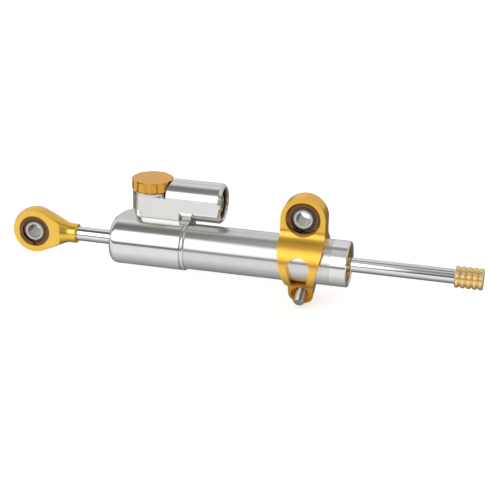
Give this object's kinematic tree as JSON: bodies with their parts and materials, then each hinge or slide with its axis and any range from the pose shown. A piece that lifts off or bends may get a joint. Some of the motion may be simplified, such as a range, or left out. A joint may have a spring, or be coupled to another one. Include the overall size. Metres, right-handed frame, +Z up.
{
  "type": "motorcycle steering damper",
  "caption": "Hydraulic steering damper: through rod in a tube, side canister with click adjuster, spherical bearings in the rod eye and in a clamp round the tube, and a grooved stop collar.",
  "frame": {"origin": "centre of the spherical bearing in the clamp, at rest", "axes": "+X along the damper from the rod eye to the stop collar; +Y along the bearing bores, away from the side with the clamping bolt's thread end; +Z up, from the tube to the bearing"},
  "size_m": [0.2651, 0.0388, 0.063],
  "materials": {
    "head_aluminium": "polished, clear anodised",
    "tube_aluminium": "satin turned, clear anodised",
    "sleeve_aluminium": "polished turned",
    "gland_aluminium": "machined",
    "adjuster_ring_aluminium": "turned",
    "liner_steel": "honed bore",
    "guide_gold": "gold anodised, turned",
    "plug_gold": "gold anodised, turned",
    "knob_gold": "gold anodised, satin",
    "eye_gold": "gold anodised, satin",
    "collar_gold": "gold anodised, turned",
    "clamp_gold": "gold anodised, satin",
    "bush_bronze": "sintered bronze",
    "nitrile": "moulded nitrile",
    "wiper_rubber": "moulded nitrile",
    "ptfe": "bronze-filled ring",
    "dark_spring_steel": "phosphated spring steel",
    "ring_steel": "spring steel",
    "spring_steel": "drawn wire",
    "bearing_steel": "polished ball",
    "race_steel": "ground bearing steel",
    "ball_steel": "ground bearing steel",
    "rod_chrome": "hard chromed and polished",
    "stainless_screw": "stainless steel",
    "dark_screw": "black oxide",
    "bolt_steel": "stainless steel"
  },
  "bodies": {
    "cylinder": {"head_body": "head_aluminium", "outer_tube": "tube_aluminium", "inner_tube": "liner_steel", "end_sleeve": "sleeve_aluminium", "gland_left": "gland_aluminium", "gland_right": "guide_gold", "gland_o_ring_left": "nitrile", "gland_o_ring_right": "nitrile", "rod_bush_left": "bush_bronze", "rod_bush_right": "bush_bronze", "rod_seal_left": "nitrile", "rod_seal_right": "nitrile", "rod_wiper_left": "wiper_rubber", "rod_wiper_right": "wiper_rubber", "gland_circlip": "dark_spring_steel", "canister_plug": "plug_gold", "plug_o_ring": "nitrile", "canister_circlip": "dark_spring_steel", "fill_screw": "stainless_screw", "adjuster_gland": "adjuster_ring_aluminium", "adjuster_gland_o_ring": "nitrile"},
    "floating": {"floating_piston": "gland_aluminium", "floating_piston_ring": "ptfe"},
    "knob": {"adjuster_knob": "knob_gold", "adjuster_spindle": "stainless_screw", "spindle_o_ring": "nitrile", "knob_grub_screw": "dark_screw", "detent_spring": "spring_steel"},
    "detent": {"detent_ball": "bearing_steel"},
    "piston": {"piston": "gland_aluminium", "piston_ring": "ptfe"},
    "rod": {"piston_rod": "rod_chrome", "piston_circlips": "dark_spring_steel", "rod_eye": "eye_gold", "eye_snap_ring": "ring_steel", "stop_collar": "collar_gold", "collar_grub_screw": "dark_screw"},
    "eye_race": {"eye_race": "race_steel"},
    "eye_ball": {"eye_ball": "ball_steel"},
    "clamp": {"clamp_body": "clamp_gold", "clamp_bolt": "bolt_steel", "clamp_washer": "bolt_steel", "clamp_snap_ring": "ring_steel"},
    "clamp_race": {"clamp_race": "race_steel"},
    "clamp_ball": {"clamp_ball": "ball_steel"}
  },
  "joints": [
    {"name": "rod_stroke", "type": "slide", "parent": "cylinder", "child": "piston", "axis": [1, 0, 0], "range_m": [-0.0567, 0.0205]},
    {"name": "rod_turn", "type": "hinge", "parent": "piston", "child": "rod", "pos_m": [0, 0, -0.0245], "axis": [1, 0, 0], "continuous": true},
    {"name": "eye_race_turn", "type": "hinge", "parent": "rod", "child": "eye_race", "pos_m": [-0.154, 0, -0.0245], "axis": [0, 1, 0], "continuous": true},
    {"name": "eye_ball_tilt", "type": "hinge", "parent": "eye_race", "child": "eye_ball", "pos_m": [-0.154, 0, -0.0245], "axis": [0, 0, 1], "range_deg": [-12, 12]},
    {"name": "clamp_slide", "type": "slide", "parent": "cylinder", "child": "clamp", "axis": [1, 0, 0], "range_m": [-0.034, 0.0042]},
    {"name": "clamp_race_turn", "type": "hinge", "parent": "clamp", "child": "clamp_race", "pos_m": [0, 0, 0], "axis": [0, 1, 0], "continuous": true},
    {"name": "clamp_ball_tilt", "type": "hinge", "parent": "clamp_race", "child": "clamp_ball", "pos_m": [0, 0, 0], "axis": [0, 0, 1], "range_deg": [-12, 12]},
    {"name": "knob_turn", "type": "hinge", "parent": "cylinder", "child": "knob", "pos_m": [-0.0885, 0.0102, 0], "axis": [0, 0, 1], "range_deg": [-165, 165]},
    {"name": "detent_click", "type": "slide", "parent": "knob", "child": "detent", "axis": [0, 0, 1], "range_m": [0, 0.0004], "stiffness_N_per_m": 1000, "springref_m": -0.001, "deforming": ["detent_spring"]},
    {"name": "floating_piston_slide", "type": "slide", "parent": "cylinder", "child": "floating", "axis": [1, 0, 0], "range_m": [-0.006, 0.0035]}
  ]
}
